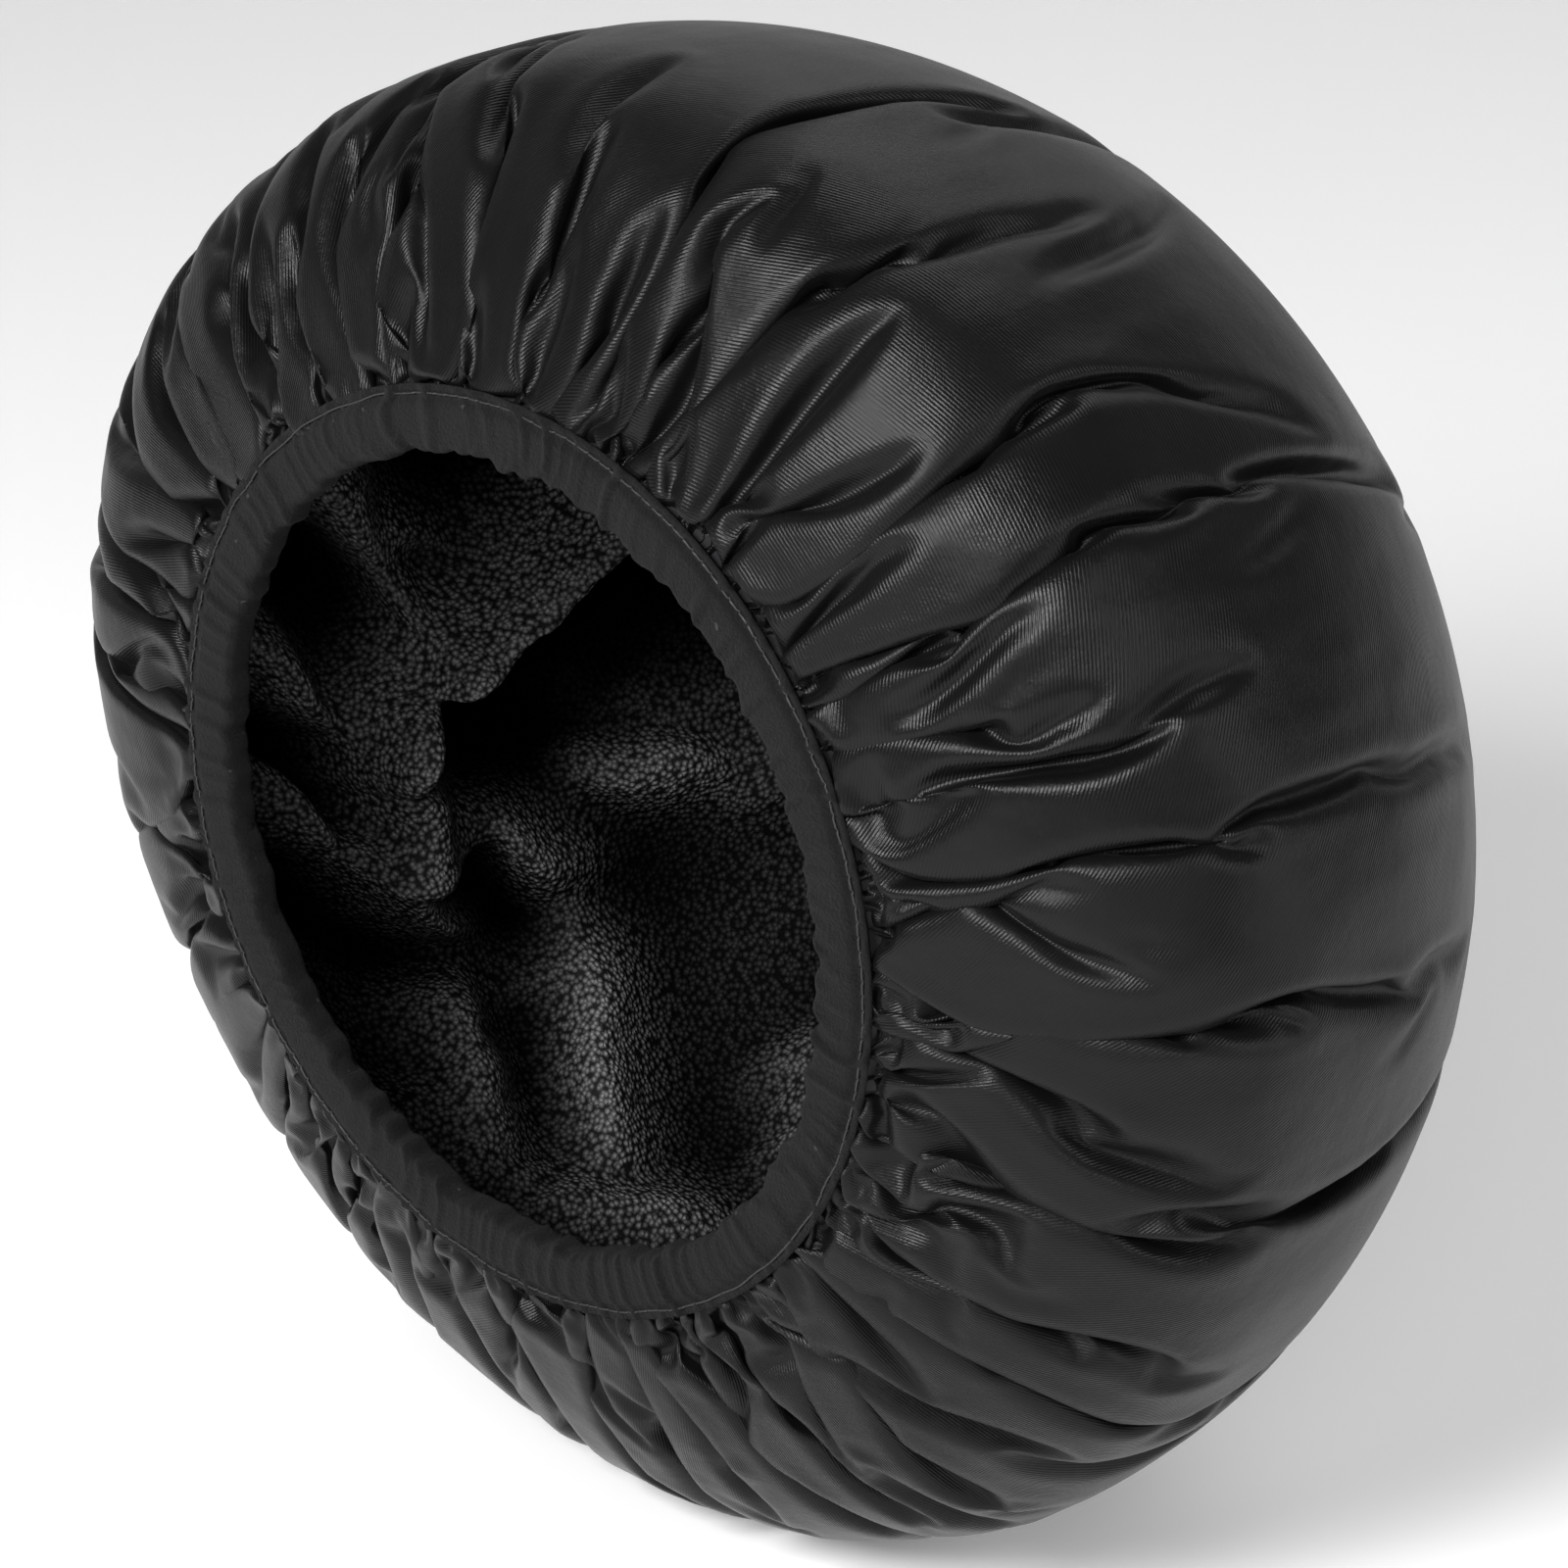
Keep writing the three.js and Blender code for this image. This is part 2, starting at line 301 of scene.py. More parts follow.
def finer(x, faces):
    """Splits every triangle in four and rounds the surface with Loop's weights, in all columns of x."""
    # Each edge once, and the corners across it.
    e = np.sort(np.concatenate([faces[:, [0, 1]], faces[:, [1, 2]], faces[:, [2, 0]]]), axis=1)
    far = np.concatenate([faces[:, 2], faces[:, 0], faces[:, 1]])
    key, first, back, times = np.unique(e[:, 0] * len(x) + e[:, 1], return_index=True, return_inverse=True,
                                        return_counts=True)
    ends = e[first]
    across = np.zeros((len(key), x.shape[1]))
    for c in range(x.shape[1]):
        across[:, c] = np.bincount(back, x[far, c], len(key))
    # A new point on each edge, drawn in towards those corners except along the rim.
    middle = (x[ends[:, 0]] + x[ends[:, 1]]) / 2
    inner = (times == 2)[:, None]
    edge = np.where(inner, 0.75 * middle + 0.125 * across, middle)
    # The old points move towards their neighbours' mean, except on the rim.
    near = np.zeros_like(x)
    count = np.bincount(ends.ravel(), minlength=len(x))
    for c in range(x.shape[1]):
        near[:, c] = np.bincount(ends[:, 0], x[ends[:, 1], c], len(x))
        near[:, c] += np.bincount(ends[:, 1], x[ends[:, 0], c], len(x))
    mean = near / count[:, None]
    rim = np.zeros(len(x), bool)
    rim[ends[times == 1].ravel()] = True
    point = np.where(rim[:, None], x, x + 0.375 * (mean - x))
    m = len(x) + back.reshape(3, -1).T
    f = faces
    cut = np.concatenate([np.stack([f[:, 0], m[:, 0], m[:, 2]], 1), np.stack([f[:, 1], m[:, 1], m[:, 0]], 1),
                          np.stack([f[:, 2], m[:, 2], m[:, 1]], 1), m])
    return np.concatenate([point, edge]), cut


def piece(name, points, faces, material, body=None, uv=None, painted_shade=None):
    """A smooth mesh object from points in millimetres, in the cap's own coordinates.

    body is the rigid body it moves with, uv where each point lies on the flat cloth, and the last argument a
    painted shade for its material at each point, 1 where nothing is painted."""
    mesh = bpy.data.meshes.new(name)
    mesh.from_pydata(((points + RIM) / 1000).tolist(), [], faces.tolist())
    mesh.polygons.foreach_set("use_smooth", [True] * len(mesh.polygons))
    if uv is not None:
        layer = mesh.uv_layers.new(name="cloth")
        index = np.zeros(len(mesh.loops), np.int32)
        mesh.loops.foreach_get("vertex_index", index)
        layer.data.foreach_set("uv", (uv[index] / 1000).astype(np.float32).ravel())
    # A painted shade, kept on the points for the material to darken by.
    if painted_shade is not None:
        mesh.attributes.new("painted_shade", "FLOAT", "POINT").data.foreach_set("value", painted_shade.astype(np.float32))
    mesh.materials.append(material)
    mesh.update()
    obj = bpy.data.objects.new(name, mesh)
    bpy.context.scene.collection.objects.link(obj)
    if body:
        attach(obj, body)
    return obj


# ---------------------------------------------------------------- materials


class Nodes:
    """Short names for building a node material. Texture scales are per metre, bump heights in metres."""

    def __init__(self, name, **values):
        self.material = bpy.data.materials.new(name)
        self.material.use_nodes = True
        self.tree = self.material.node_tree
        self.shader = self.tree.nodes["Principled BSDF"]
        for key, value in values.items():
            self.shader.inputs[key.replace("_", " ")].default_value = value

    def add(self, kind, links=None, **settings):
        node = self.tree.nodes.new("ShaderNode" + kind)
        for key, value in settings.items():
            setattr(node, key, value)
        for key, value in (links or {}).items():
            if isinstance(value, bpy.types.NodeSocket):
                self.tree.links.new(value, node.inputs[key])
            else:
                node.inputs[key].default_value = value
        return node

    def math(self, operation, a, b=0.0):
        return self.add("Math", {0: a, 1: b}, operation=operation).outputs[0]

    def noise(self, vector, scale, detail=2.0, roughness=0.5):
        values = {"Vector": vector, "Scale": scale, "Detail": detail, "Roughness": roughness}
        return self.add("TexNoise", values).outputs["Fac"]

    def mix(self, factor, a, b):
        node = self.add("MixRGB", {"Fac": factor, "Color1": (*a, 1), "Color2": (*b, 1)})
        return node.outputs[0]

    def bump(self, height, strength, distance, normal=None):
        links = {"Height": height, "Strength": strength, "Distance": distance}
        if normal is not None:
            links["Normal"] = normal
        return self.add("Bump", links).outputs[0]

    def to(self, **sockets):
        for key, value in sockets.items():
            self.tree.links.new(value, self.shader.inputs[key.replace("_", " ")])
        return self.material


def satin():
    """Black satin: fine diagonal twill lines and a broad soft sheen that varies a little."""
    m = Nodes("satin", Specular_IOR_Level=0.17, Sheen_Weight=0.015, Sheen_Roughness=0.4)
    uv = m.add("UVMap", uv_map="cloth").outputs[0]
    where = m.add("TexCoord").outputs["Object"]
    # The twill lines are about 0.6 mm apart.
    lines = {"Vector": uv, "Scale": 710.0, "Distortion": 1.5, "Detail": 2.0, "Detail Scale": 3.0}
    twill = m.add("TexWave", lines, bands_direction="DIAGONAL").outputs["Fac"]
    cloud = m.noise(where, 35.0, 3.0)
    crinkle = m.noise(where, 160.0, 4.0, 0.6)
    colour = m.mix(cloud, (0.0025, 0.0025, 0.0028), (0.005, 0.005, 0.0054))
    rough = m.math("ADD", m.math("MULTIPLY", cloud, 0.14), 0.27)
    # Long wrinkles run towards the hem. They start between 0.12 and 0.2 m of cloth from the crown's middle.
    flat = m.add("SeparateXYZ", {0: uv}).outputs
    bearing = m.math("ARCTAN2", flat[1], flat[0])
    out = m.add("VectorMath", {0: uv}, operation="LENGTH").outputs["Value"]
    round_about = m.math("MULTIPLY", bearing, 14.0)
    pulled = m.add("CombineXYZ", {0: round_about, 1: m.math("MULTIPLY", out, 16.0)}).outputs[0]
    away = m.add("MapRange", {"Value": out, 1: 0.12, 2: 0.2}).outputs[0]
    drag = m.bump(m.math("MULTIPLY", m.noise(pulled, 1.0, 1.0, 0.4), away), 0.25, 0.004)
    slack = m.bump(m.noise(where, 24.0, 2.0, 0.45), 0.22, 0.012, drag)
    soft = m.bump(crinkle, 0.2, 0.0012, slack)
    return m.to(Base_Color=colour, Roughness=rough, Normal=m.bump(twill, 0.4, 0.00012, soft))


def terry():
    """Black terry: painted glints on the loops' tips, painted shade between the loops and in the folds'
    hollows.
    """
    m = Nodes("terry", Roughness=0.7)
    where = m.add("TexCoord").outputs["Object"]
    # The loops are about 1.25 mm across.
    cells = m.add("TexVoronoi", {"Vector": where, "Scale": 800.0, "Randomness": 0.8}, feature="F1")
    loop = m.add("MapRange", {"Value": cells.outputs["Distance"], 1: 0.75, 2: 0.15}).outputs[0]
    pile = m.noise(where, 3000.0, 2.0)
    # Painted glint on each loop's tip, over painted shade in the gaps between loops.
    painted_tip_glint = m.math("MULTIPLY", m.math("POWER", loop, 1.2), m.math("ADD", pile, 0.3))
    # Painted shade from the points darkens the pile's colour and its specular in the hollows of the folds.
    painted_shade = m.add("Attribute", attribute_name="painted_shade").outputs["Fac"]
    colour = m.mix(m.math("MULTIPLY", painted_tip_glint, painted_shade), (0.001, 0.001, 0.001), (0.32, 0.32, 0.324))
    gloss_cut_by_painted_shade = m.math("MULTIPLY", painted_shade, 0.3)
    normal = m.bump(pile, 0.5, 0.0004, m.bump(loop, 1.0, 0.001))
    return m.to(Base_Color=colour, Specular_IOR_Level=gloss_cut_by_painted_shade, Normal=normal)


def velour():
    """Charcoal brushed cloth with a short dull nap and a little lint."""
    m = Nodes("velour", Roughness=0.95, Sheen_Weight=0.03, Sheen_Roughness=0.6, Specular_IOR_Level=0.12)
    where = m.add("TexCoord").outputs["Object"]
    nap, patch = m.noise(where, 1500.0, 4.0, 0.7), m.noise(where, 60.0, 3.0)
    lint = m.math("GREATER_THAN", m.noise(where, 520.0, 0.0), 0.86)
    tone = m.math("ADD", m.math("MULTIPLY", patch, 0.35), m.math("MULTIPLY", nap, 0.65))
    base = m.mix(tone, (0.0, 0.0, 0.0), (0.0095, 0.0095, 0.0097))
    specks = {"Fac": m.math("MULTIPLY", lint, 0.1), "Color1": base, "Color2": (0.3, 0.3, 0.3, 1)}
    colour = m.add("MixRGB", specks).outputs[0]
    return m.to(Base_Color=colour, Normal=m.bump(nap, 0.9, 0.0009))


def thread():
    """Twisted black sewing thread."""
    m = Nodes("thread", Roughness=0.55)
    strands = {"Vector": m.add("TexCoord").outputs["Object"], "Scale": 900.0, "Distortion": 1.0}
    twist = m.add("TexWave", strands, bands_direction="DIAGONAL").outputs["Fac"]
    colour = m.mix(twist, (0.006, 0.006, 0.006), (0.02, 0.02, 0.021))
    return m.to(Base_Color=colour, Normal=m.bump(twist, 0.5, 0.0001))


def elastic():
    """Braided black elastic with lengthwise ribs."""
    m = Nodes("elastic", Roughness=0.7)
    where = m.add("TexCoord").outputs["Object"]
    ribs = m.add("TexWave", {"Vector": where, "Scale": 300.0}, wave_type="RINGS", rings_direction="Y")
    colour = m.mix(m.noise(where, 1500.0, 2.0), (0.01, 0.01, 0.01), (0.025, 0.025, 0.025))
    return m.to(Base_Color=colour, Normal=m.bump(ribs.outputs["Fac"], 0.6, 0.0004))


def film():
    """Thin dark plastic film with a faint crinkle."""
    m = Nodes("film", Roughness=0.3)
    crinkle = m.noise(m.add("TexCoord").outputs["Object"], 120.0, 4.0)
    colour = m.mix(crinkle, (0.015, 0.015, 0.016), (0.03, 0.03, 0.032))
    return m.to(Base_Color=colour, Normal=m.bump(crinkle, 0.4, 0.0008))


SATIN, TERRY, VELOUR, THREAD, ELASTIC, FILM = satin(), terry(), velour(), thread(), elastic(), film()

# ---------------------------------------------------------------- satin shell


def ripples(disc, g, counts, few, more, spread, sway):
    """Random waves round the cap, about few + more * g ** 1.6 of them at each place; sway turns each one."""
    push = np.zeros(disc.count)
    for m in counts:
        share = np.exp(-(((math.log(m) - np.log(few + more * g**1.6)) / spread) ** 2))
        drift = sway(RNG.uniform(0, TURN))
        push += RNG.normal() * share * np.cos(m * disc.turn + RNG.uniform(0, TURN) + drift)
    return push


def shell_seed(disc, f, g, x, n):
    """Folds of every width, wide on the crown's side and narrow at the hem."""
    push = 0.5 * ripples(disc, g, range(6, 100), 14, 75, 0.30, lambda start: 0.5 * np.sin(4 * g + start))
    height = 0.8 * smooth(0.0, 0.3, g) + 0.4 * f
    off_hem = smooth(0, 0.04, 1 - g)
    return n * (push * height * off_hem)[:, None]


def shell_excess(f, g):
    """17 % more cloth than the dome's own at the widest ring, and 161 % more at the seam."""
    return 1 + 0.17 * f + 1.44 * g**1.5


def shell_depth(f, g):
    """Folds up to 2 mm deep on the crown, 10.5 at the widest ring and 4 at the seam."""
    return 2 + 8.5 * f + 3 * np.sin(math.pi * g**0.8) - 6.5 * g


def shoulder(x, bearing, spread, height):
    """Swells the front shoulder outwards by height round one bearing; spread is in radians."""
    at = (np.arctan2(x[:, 2], x[:, 0]) - bearing + math.pi) % TURN - math.pi
    n = (x - [0, WIDEST, 0]) / np.array([R, FRONT, R]) ** 2
    n /= np.linalg.norm(n, axis=1)[:, None] + TINY
    off_hem = smooth(SEAM, SEAM + 35, np.hypot(x[:, 0], x[:, 2] - RISE))
    off_crown = smooth(WIDEST + 70, WIDEST - 10, x[:, 1])
    return x + n * (height * np.exp(-((at / spread) ** 2)) * off_hem * off_crown)[:, None]


shell_net = Disc(SHELL_RINGS)
shell, shell_flat = gather(shell_net, 0.0, shell_excess, shell_depth, shell_seed, SHELL_STEPS,
                           stiffness=0.09, pressure=0.0004, slack=0.025)
shell = shoulder(shell, bearing=math.radians(168), spread=0.6, height=6.0)
fine, fine_faces = finer(np.hstack([shell, shell_flat]), shell_net.faces)
outer = piece("satin_shell", fine[:, :3], fine_faces, SATIN, uv=fine[:, 3:])
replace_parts(outer, "outer_shell")

# ---------------------------------------------------------------- lining and film

LINING_INSET, FILM_INSET = 8.0, 1.0  # how far inside the satin's plain section each of them starts
LINING_CLEAR, FILM_CLEAR = 3.2, 1.8  # how far each stays inside the satin's folds
SAG = 0.3  # how far a fold of the lining sinks for each millimetre of its height


class Envelope:
    """How far inwards the satin's folds reach in each direction from the middle of the widest ring."""

    def __init__(self, points, bins=(72, 72)):
        """Keeps the lowest gauge in each cell, then spreads and softens the lows twice."""
        at, centre = gauge(points)
        self.bins = bins
        a, b = (np.rint(v).astype(int) for v in self.cell(points - centre))
        self.low = np.full(bins, 1.0)
        np.minimum.at(self.low, (a % bins[0], np.clip(b, 0, bins[1] - 1)), at)
        for _ in range(2):
            pad = np.pad(self.low, ((1, 1), (0, 0)), mode="wrap")
            pad = np.pad(pad, ((0, 0), (1, 1)), mode="edge")
            near = [pad[i:i + bins[0], j:j + bins[1]] for i in range(3) for j in range(3)]
            self.low = (np.min(near, axis=0) + np.mean(near, axis=0)) / 2

    def cell(self, d):
        """Where each direction falls in the table of bearings and polar angles."""
        a = np.arctan2(d[:, 2], d[:, 0]) / TURN % 1
        b = np.arccos(np.clip(d[:, 1] / np.linalg.norm(d, axis=1), -1, 1)) / math.pi
        return a * self.bins[0] - 0.5, b * self.bins[1] - 0.5

    def __call__(self, x, centre, clear=LINING_CLEAR):
        """The largest gauge that stays clear millimetres inside the satin, read between four cells."""
        d = x - centre
        a, b = self.cell(d)
        i, j = np.floor(a).astype(int), np.clip(np.floor(b).astype(int), 0, self.bins[1] - 2)
        u, v = a - i, np.clip(b - j, 0, 1)
        i, i1 = i % self.bins[0], (i + 1) % self.bins[0]
        low = (1 - v) * ((1 - u) * self.low[i, j] + u * self.low[i1, j])
        low += v * ((1 - u) * self.low[i, j + 1] + u * self.low[i1, j + 1])
        return low - clear / np.linalg.norm(d, axis=1)


# Big soft folds of the lining, with the hollows between them as negative heights. Each has its
# line as (bearing, polar angle) in degrees, seen from the middle of the widest ring, then its height and its
# widths above and below that line in millimetres.
FOLDS = [
    ([(165, 50), (175, 57), (180, 65), (185, 75), (195, 82), (205, 80)], 50, 17, 9),
    ([(203, 65), (215, 65), (225, 65), (240, 75)], 34, 9, 19),
    ([(180, 98), (190, 88), (196, 80)], 44, 10, 7),
    ([(165, 87), (175, 80), (182, 74)], 44, 11, 7),
    ([(170, 80), (173, 70), (170, 65)], 30, 10, 8),
    ([(193, 100), (200, 91), (212, 78)], 46, 9, 8),
    ([(220, 82), (233, 86)], 30, 10, 8),
    ([(230, 90), (240, 85), (250, 75)], 16, 14, 12),
    ([(197, 67), (205, 60), (208, 45)], -24, 10, 8),
    ([(190, 94), (196, 84), (205, 76), (217, 66)], -30, 8, 9),
    ([(173, 85), (181, 80), (190, 70)], -24, 7, 7),
    ([(204, 94), (208, 88), (215, 82)], -20, 7, 8),
    ([(30, 60), (10, 70), (350, 95)], 20, 16, 12),
    ([(60, 85), (75, 60), (110, 45)], 18, 16, 12),
    ([(290, 80), (310, 60), (330, 40)], 20, 16, 12),
    ([(120, 80), (135, 60), (150, 40)], 16, 14, 12),
    ([(265, 90), (262, 70), (250, 50)], 14, 14, 12),
    ([(20, 40), (330, 15), (255, 30)], 20, 15, 12),
    ([(75, 40), (100, 15), (165, 25)], 18, 14, 12),
]


def crest(x, line, height, above, below):
    """How far one fold lifts each point, with its own width above and below its line."""
    t, p = np.radians(np.array(line, float)).T
    way = np.stack([R * np.sin(p) * np.cos(t), WIDEST + CROWN * np.cos(p), R * np.sin(p) * np.sin(t)], 1)
    best, side = np.full(len(x), np.inf), np.zeros(len(x))
    for a, b in zip(way[:-1], way[1:]):
        u = np.clip(((x - a) @ (b - a)) / ((b - a) @ (b - a)), 0, 1)
        d = x - (a + u[:, None] * (b - a))
        far = np.linalg.norm(d, axis=1)
        closer = far < best
        best, side = np.where(closer, far, best), np.where(closer, d[:, 2], side)
    width = above + (below - above) * smooth(4, -4, side)
    return height * np.exp(-((best / width) ** 2))


def lining_seed(disc, f, g, x, n):
    """The big folds, sagging a little, with smaller ones between them."""
    push = ripples(disc, g, range(3, 40), 6, 24, 0.35, lambda start: 2.0 * np.sin(3 * f + start))
    lifts = np.array([crest(x, *fold) for fold in FOLDS])
    big = np.maximum(lifts, 0).max(0) + np.minimum(lifts, 0).min(0)
    off_hem = smooth(0, 0.12, 1 - g)
    plump = 4 * f * (1 - smooth(0.2, 0.7, g))  # thicker all round at the widest ring
    ripple = 0.5 * push * (0.3 + 0.7 * f) * (1 - smooth(0.1, 0.5, g))
    inwards = (plump + ripple + big) * off_hem
    return -n * inwards[:, None] - np.outer(SAG * np.maximum(big, 0) * off_hem, (0, 0, 1))


def lining_excess(f, g):
    """Hardly more cloth than the dome's own, because the seed folds bring the rest."""
    return 1.01 + 0.02 * f


def lining_depth(f, g):
    """Folds hang up to 56 mm deep in the crown, and up to 14 at the seam."""
    return 56 - 42 * smooth(0.3, 1.0, g)


def painted_hollow_shade(disc, x):
    """Painted shade for the pile: 1 on the crests of folds, near 0 at the bottom of the hollows."""
    at, _ = gauge(x)
    level = at.copy()  # will be the lining's height averaged over the folds around
    for _ in range(60):
        level += 0.8 * disc.spread(level[:, None])[:, 0]
    darkest, brightest = 7, -9  # millimetres behind that average
    return smooth(darkest, brightest, (at - level) * R) ** 1.4


lining_net, under = Disc(LINING_RINGS), Envelope(shell)
lining, lining_flat = gather(lining_net, LINING_INSET, lining_excess, lining_depth, lining_seed, LINING_STEPS,
                             stiffness=0.03, pressure=0.0, slack=0.0, ceiling=under, draped=True)
for _ in range(2):  # softens the creases, and leaves the held edge alone
    lining += np.where(lining_net.k < lining_net.n, 0.35, 0)[:, None] * lining_net.spread(lining)
# Painted shade, darkest in the hollows between the lining's folds.
painted_shade = painted_hollow_shade(lining_net, lining)
fine = np.hstack([lining, unfold(lining_net, lining, lining_flat), painted_shade[:, None]])
fine, fine_faces = finer(fine, lining_net.faces)
inner = piece("terry_loops", fine[:, :3], fine_faces[:, ::-1], TERRY, uv=fine[:, 3:5], painted_shade=fine[:, 5])
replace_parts(inner, "terry_lining")

film_net = Disc(FILM_RINGS)
s, r, y = section(FILM_INSET)
ring_at = np.linspace(0, s[-1], film_net.n + 1)
radius = np.interp(ring_at, s, r)
plain_dome = on_dome(film_net, radius, np.interp(ring_at, s, y))
at, centre = gauge(plain_dome)
ease = smooth(SEAM, SEAM + 4, radius[film_net.k])
size = 1 + (under(plain_dome, centre, FILM_CLEAR) / at - 1) * ease
middle = piece("film_layer", centre + (plain_dome - centre) * size[:, None], film_net.faces, FILM)
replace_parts(middle, "waterproof_film")

# Each ply's placement is baked into its points.
for cloth in (outer, inner, middle):
    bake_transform(cloth)

# ---------------------------------------------------------------- hem


def waves(t, low, high, power=0.0, seed=1):
    """A repeatable sum of round-the-ring waves, about 1 high."""
    rng = np.random.default_rng(seed)
    m = np.arange(low, high)
    amp = rng.normal(size=len(m)) / m**power
    phase = rng.uniform(0, TURN, len(m))[:, None]
    return (amp[:, None] * np.cos(m[:, None] * t + phase)).sum(0) / math.sqrt((amp**2).sum() / 2)


def ring(section_points, columns, shape):
    """A closed section swept round the hem's axis; shape moves each column's section."""
    t = np.arange(columns) / columns * TURN
    rows = len(section_points)
    p = np.array(section_points, float)
    r, y = np.repeat(p[:, :1], columns, 1), np.repeat(p[:, 1:], columns, 1)
    r, y, turn = shape(r, y, np.repeat(t[None], rows, 0))
    pts = np.stack([r * np.cos(turn), y, r * np.sin(turn) + RISE], 2).reshape(-1, 3)
    i, j = np.meshgrid(np.arange(rows), np.arange(columns), indexing="ij")
    a, b = i * columns + j, i * columns + (j + 1) % columns
    c, d = (i + 1) % rows * columns + (j + 1) % columns, (i + 1) % rows * columns + j
    return pts, np.stack([a, b, c, d], 2).reshape(-1, 4)


def arc(centre, radius, start, stop, count):
    """Points along part of a circle, from one angle in degrees to another."""
    a = np.radians(np.linspace(start, stop, count))
    return [(centre[0] + radius * math.cos(v), centre[1] + radius * math.sin(v)) for v in a]


HEM_WIDTH, HEM_CLOTH, EDGE_ROUND, THREAD_RADIUS = 12.0, 0.6, 1.6, 0.2
INNER = SEAM - HEM_WIDTH
BACK = hem_hi[1] - hem_lo[1]
STITCH_R = SEAM - 1.5
# The binding's outside from its stitched edge over the front, round the inner edge and along the back.
outside = [(SEAM, 0.9), (SEAM - 0.8, 0.85), (SEAM - 1.7, 0.95), (SEAM - 2.5, 0.8), (SEAM - 3.0, 0.25)]
outside += [(SEAM - 4.0, 0.02), (SEAM - 6.0, -0.05), (SEAM - 8.0, -0.05), (SEAM - 10.0, 0.0)]
outside += arc((INNER + EDGE_ROUND, EDGE_ROUND), EDGE_ROUND, 270, 180, 5) + [(INNER, 2.9)]
outside += arc((INNER + EDGE_ROUND, BACK - EDGE_ROUND), EDGE_ROUND, 180, 90, 5)
outside += [(SEAM - 8.0, BACK), (SEAM - 5.0, BACK), (SEAM - 2.0, BACK), (SEAM, BACK)]
# Its inside, back to the edge, with room for the elastic.
inside = [(SEAM, BACK - HEM_CLOTH), (INNER + 1.8, BACK - HEM_CLOTH), (INNER + HEM_CLOTH, BACK - 1.7)]
inside += [(INNER + HEM_CLOTH, 1.7), (INNER + 1.7, HEM_CLOTH), (SEAM - 3.2, HEM_CLOTH)]
inside += [(SEAM - 2.6, 1.45), (SEAM, 1.5)]
skin = len(outside)  # the section's first points, which are the binding's outside


def pucker(r, y, t):
    """Curved radial puckers over the front, tight at the seam and scalloped at the inner edge."""
    turn = t[0]
    across = np.clip((r - INNER) / HEM_WIDTH, 0, 1)
    bow = 0.035 * np.sin(math.pi * across) * waves(turn, 4, 9, seed=5)
    fine_lines = np.array([waves(turn + b, 55, 150, 0.3, seed=6) for b in bow])
    broad = waves(turn, 9, 30, 0.5, seed=7)
    scallops = 0.28 * waves(turn, 40, 95, 0.2, seed=8) + 0.35 * broad
    front = np.zeros_like(r)
    front[:skin] = 1
    facing = front * smooth(5.5, 2.5, y)
    raised = facing * ((0.30 + 0.25 * (across - 0.5) ** 2) * fine_lines - 0.22)
    sunk = 0.12 * np.abs(broad) * front * smooth(4, 1, y)
    edge = front * smooth(0.35, 0.0, across)
    return r + edge * scallops, y - np.maximum(raised, -0.25) - sunk, t


hem_points, hem_faces = ring(outside + inside, HEM_COLUMNS, pucker)
hem = piece("velour_hem", hem_points, hem_faces, VELOUR, "hem")
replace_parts(hem, "hem_casing")


def stitches(name, depth, dip_towards):
    """A lockstitch: short raised lengths of thread that dip into the cloth between them.

    dip_towards is 1 where the cloth lies behind the thread, and -1 where it lies in front."""
    count, points_each, sides, deep = 200, 12, 6, 0.32
    columns = count * points_each

    def shape(r, y, t):
        phase = np.arange(columns) % points_each / points_each
        dip = deep * smooth(0.36, 0.5, np.abs(phase - 0.5)) * dip_towards
        wander = 0.12 * waves(t[0], 20, 60, seed=9)
        return r + wander, y + dip, t

    section_points = arc((STITCH_R, depth), THREAD_RADIUS, 0, 360 * (1 - 1 / sides), sides)
    points, faces = ring(section_points, columns, shape)
    obj = piece(name, points, faces, THREAD, "hem")
    return obj


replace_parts(stitches("needle_stitches", 0.72, 1), "hem_needle_thread")
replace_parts(stitches("bobbin_stitches", BACK + THREAD_RADIUS, -1), "hem_bobbin_thread")

# Hidden parts keep their CAD shape and take a material.
for node, material in (("elastic_band", ELASTIC), ("elastic_join_stitches", THREAD),
                       ("casing_join_stitches", THREAD), ("gathering_thread", THREAD)):
    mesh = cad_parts[node].data
    mesh.materials.clear()
    mesh.materials.append(material)

# ---------------------------------------------------------------- stage

AZIMUTH, ELEVATION, DISTANCE = math.radians(43.9), math.radians(24.6), 1.0  # the photograph's view


def paper():
    """Pale, hardly mottled paper that glows a little, so that it stays nearly white."""
    m = Nodes("paper", Roughness=0.8, Emission_Color=(1, 1, 1, 1), Emission_Strength=0.12)
    tone = m.noise(m.add("TexCoord").outputs["Object"], 3.0)
    return m.to(Base_Color=m.mix(tone, (0.931, 0.931, 0.931), (0.95, 0.95, 0.95)))


def sweep_floor():
    """A pale floor in metres that curves up into a backdrop behind the cap."""
    half_width, front, back, bend, height = 7, -4, 1.6, 1.2, 6
    profile = [(front, 0), (back, 0)]
    for a in np.linspace(0.1, math.pi / 2, 14):
        profile.append((back + bend * math.sin(a), bend - bend * math.cos(a)))
    profile += [(back + bend, height)]
    points = [(x, y, z) for x in (-half_width, half_width) for y, z in profile]
    n = len(profile)
    faces = [(i, i + 1, n + i + 1, n + i) for i in range(n - 1)]
    mesh = bpy.data.meshes.new("floor")
    mesh.from_pydata(points, [], faces)
    mesh.polygons.foreach_set("use_smooth", [True] * len(faces))
    mesh.materials.append(paper())
    obj = bpy.data.objects.new("floor", mesh)
    bpy.context.scene.collection.objects.link(obj)
    obj.rotation_euler.z = math.radians(44)  # square to the camera


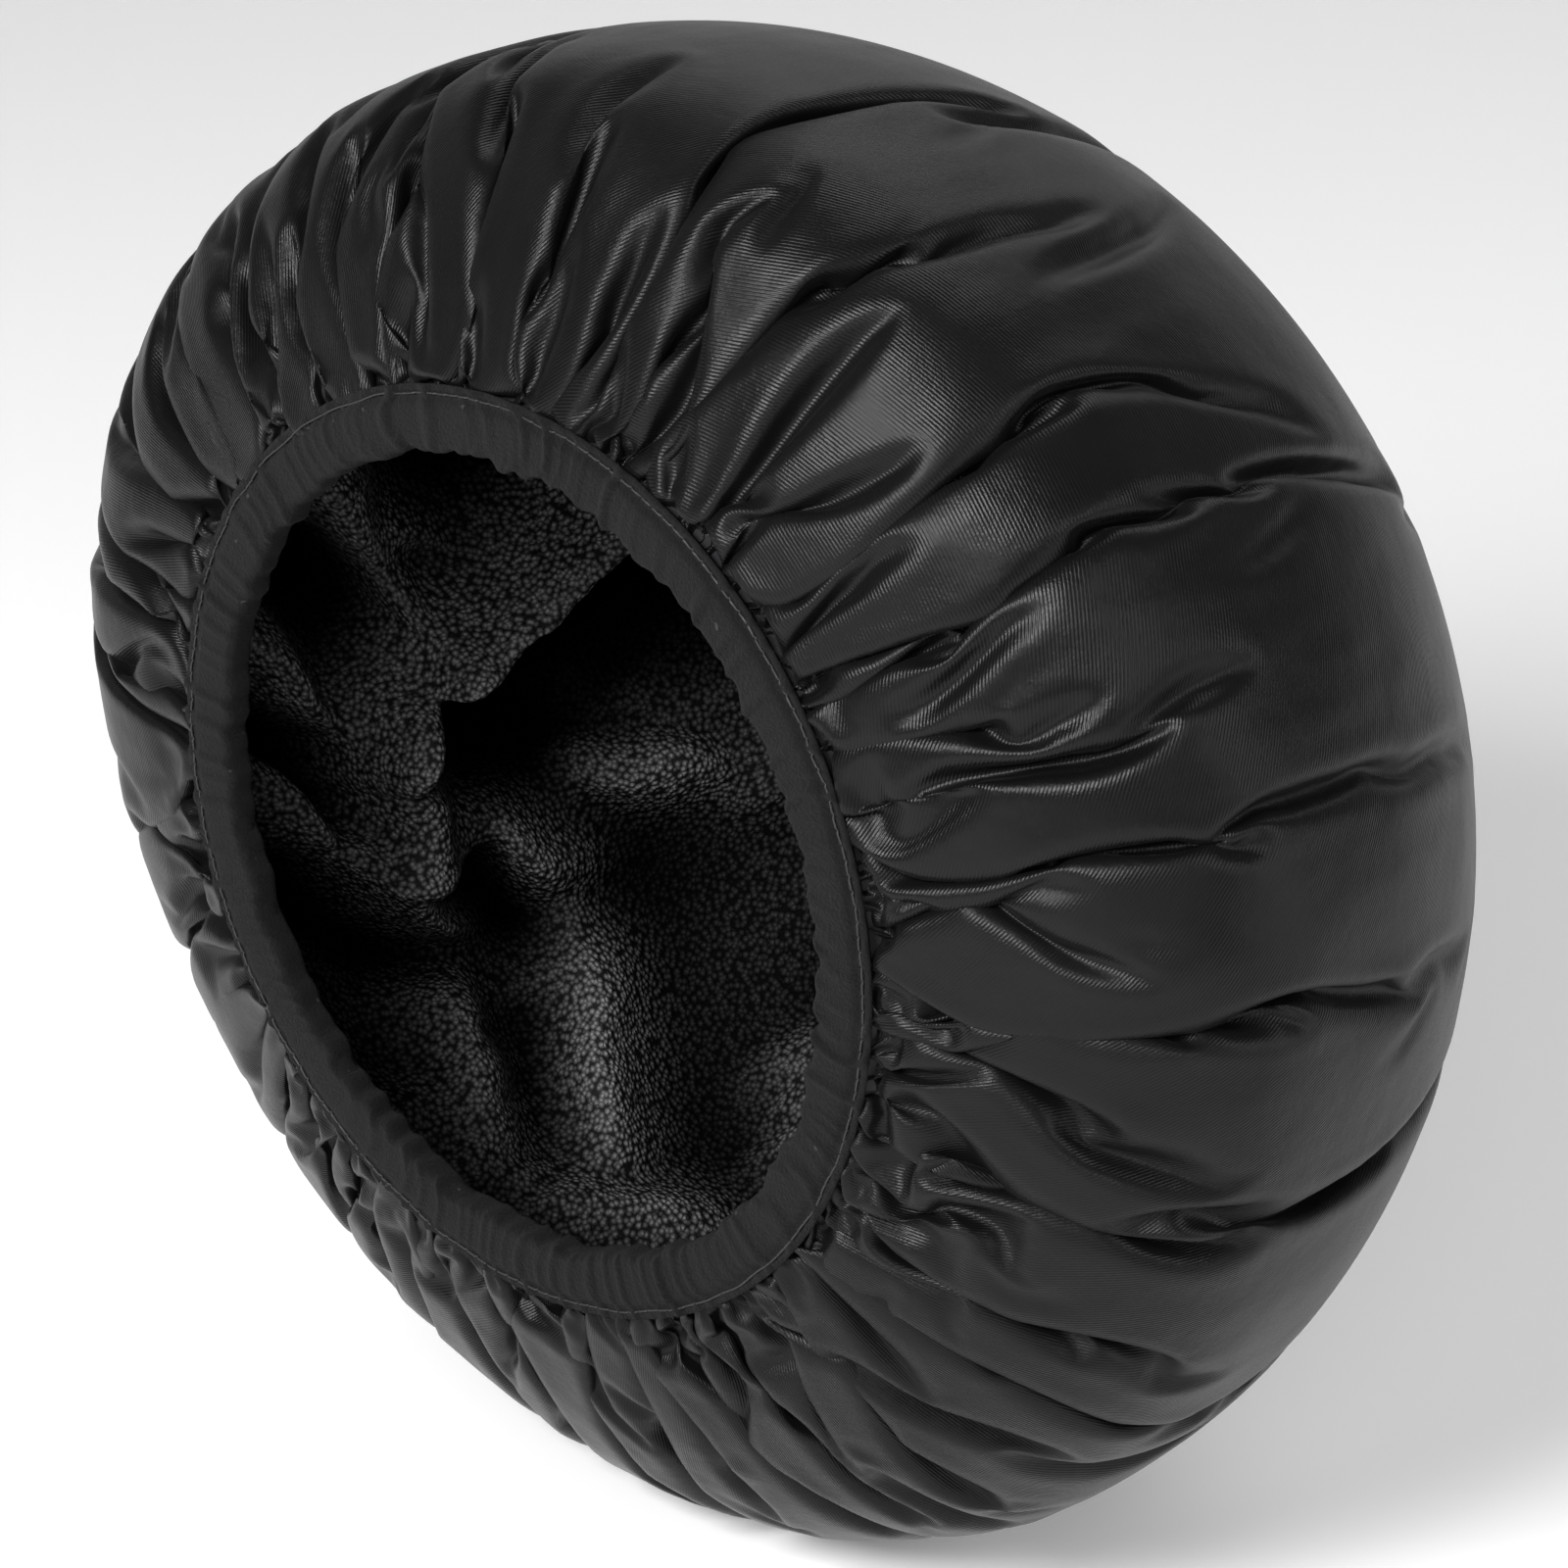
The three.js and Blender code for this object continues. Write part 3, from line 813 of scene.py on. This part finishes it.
def soft_box(name, place, size, power):
    """A rectangular light in metres and watts, turned to the cap's middle."""
    light = bpy.data.lights.new(name, "AREA")
    light.shape, light.size, light.size_y, light.energy = "RECTANGLE", size[0], size[1], power
    obj = bpy.data.objects.new(name, light)
    bpy.context.scene.collection.objects.link(obj)
    obj.location = place
    obj.rotation_euler = (Vector(place) - Vector((0, 0, RIM[2] / 1000))).to_track_quat("Z", "Y").to_euler()


def white_room(lit):
    """A world that looks white to the camera but lights the scene only by the share lit."""
    world = bpy.data.worlds.new("studio")
    world.use_nodes = True
    tree = world.node_tree
    ray = tree.nodes.new("ShaderNodeLightPath")
    dim = tree.nodes.new("ShaderNodeMath")
    dim.operation = "MULTIPLY_ADD"
    dim.inputs[1].default_value, dim.inputs[2].default_value = 1 - lit, lit
    tree.links.new(ray.outputs["Is Camera Ray"], dim.inputs[0])
    tree.links.new(dim.outputs[0], tree.nodes["Background"].inputs["Strength"])
    tree.nodes["Background"].inputs["Color"].default_value = (0.95, 0.95, 0.95, 1)
    bpy.context.scene.world = world


def place_camera():
    """Looks at a point 60 mm behind the rim's middle; the shifts centre the cap's outline."""
    look_at = Vector(tuple((RIM + [0, 60, 0]) / 1000))
    level = math.cos(ELEVATION)
    back = Vector((math.sin(AZIMUTH) * level, -math.cos(AZIMUTH) * level, math.sin(ELEVATION)))
    camera = bpy.data.cameras.new("camera")
    camera.lens, camera.shift_x, camera.shift_y, camera.clip_end = 127, 0.0242, 0.0065, 30
    view = bpy.data.objects.new("camera", camera)
    bpy.context.scene.collection.objects.link(view)
    view.location = look_at + back * DISTANCE
    view.rotation_euler = back.to_track_quat("Z", "Y").to_euler()
    bpy.context.scene.camera = view


sweep_floor()
# Seen from the camera: key from the left, fill from above it, side from the right, top from high behind.
soft_box("key", (0.15, -1.25, 1.0), (0.5, 0.5), 31)
soft_box("fill", (0.95, -1.0, 0.9), (0.5, 0.5), 5)
soft_box("side", (1.6, 0.3, 0.8), (0.7, 1.0), 9)
soft_box("top", (-0.3, 1.0, 1.7), (1.2, 0.8), 8)
white_room(lit=0.05)
place_camera()
bpy.context.scene.view_settings.view_transform = "Standard"
